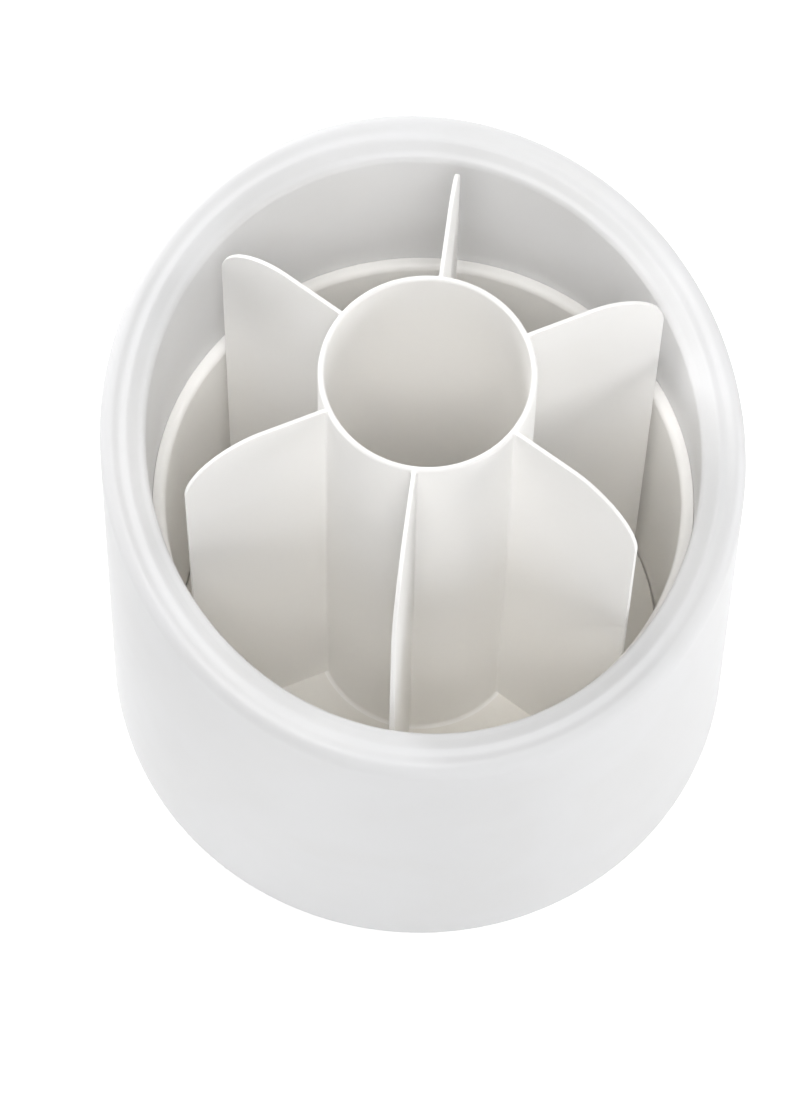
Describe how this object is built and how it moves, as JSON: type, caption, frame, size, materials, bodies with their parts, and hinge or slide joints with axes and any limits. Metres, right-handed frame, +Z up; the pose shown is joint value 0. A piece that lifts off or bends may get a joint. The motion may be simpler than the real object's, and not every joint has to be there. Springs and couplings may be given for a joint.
{
  "type": "spinning brush holder",
  "caption": "Round white holder with a slanted mouth; its inner cup spins on a ball ring and carries a lift-out divider with a centre tube and radial fins.",
  "frame": {"origin": "centre of the footprint, on the plane the rubber pads stand on", "axes": "+Z up along the turning axis, -Y to the front, where the slanted mouth is low, +X to the right seen from the front"},
  "size_m": [0.1248, 0.1248, 0.129],
  "materials": {
    "shell_white": "satin, soft gloss, moulded",
    "base_white": "fine matt texture",
    "rubber": "matt",
    "steel": "bright zinc",
    "cage_plastic": "natural unfilled plastic"
  },
  "bodies": {
    "housing": {"outer_shell": "shell_white", "base_plate": "base_white", "foot_pad_1": "rubber", "foot_pad_2": "rubber", "foot_pad_3": "rubber", "foot_pad_4": "rubber", "shell_screw_1": "steel", "shell_screw_2": "steel", "shell_screw_3": "steel", "shell_screw_4": "steel"},
    "drum": {"inner_cup": "shell_white", "pivot_washer": "steel", "pivot_screw": "steel"},
    "ball_ring": {"ball_cage": "cage_plastic", "ball_1": "steel", "ball_2": "steel", "ball_3": "steel", "ball_4": "steel", "ball_5": "steel", "ball_6": "steel", "ball_7": "steel", "ball_8": "steel"},
    "divider": {"centre_tube": "shell_white", "divider_tray": "shell_white", "fin_1": "shell_white", "fin_2": "shell_white", "fin_3": "shell_white", "fin_4": "shell_white", "fin_5": "shell_white", "fin_6": "shell_white"}
  },
  "joints": [
    {"name": "drum_spin", "type": "hinge", "parent": "housing", "child": "drum", "pos_m": [0, 0, 0.0057], "axis": [0, 0, 1], "continuous": true},
    {"name": "ball_ring_spin", "type": "hinge", "parent": "housing", "child": "ball_ring", "pos_m": [0, 0, 0.0057], "axis": [0, 0, 1], "continuous": true},
    {"name": "divider_lift", "type": "slide", "parent": "drum", "child": "divider", "axis": [0, 0, 1], "range_m": [0, 0.135]}
  ],
  "couplings": [
    {"joint": "ball_ring_spin", "follows": "drum_spin", "ratio": 0.5}
  ]
}
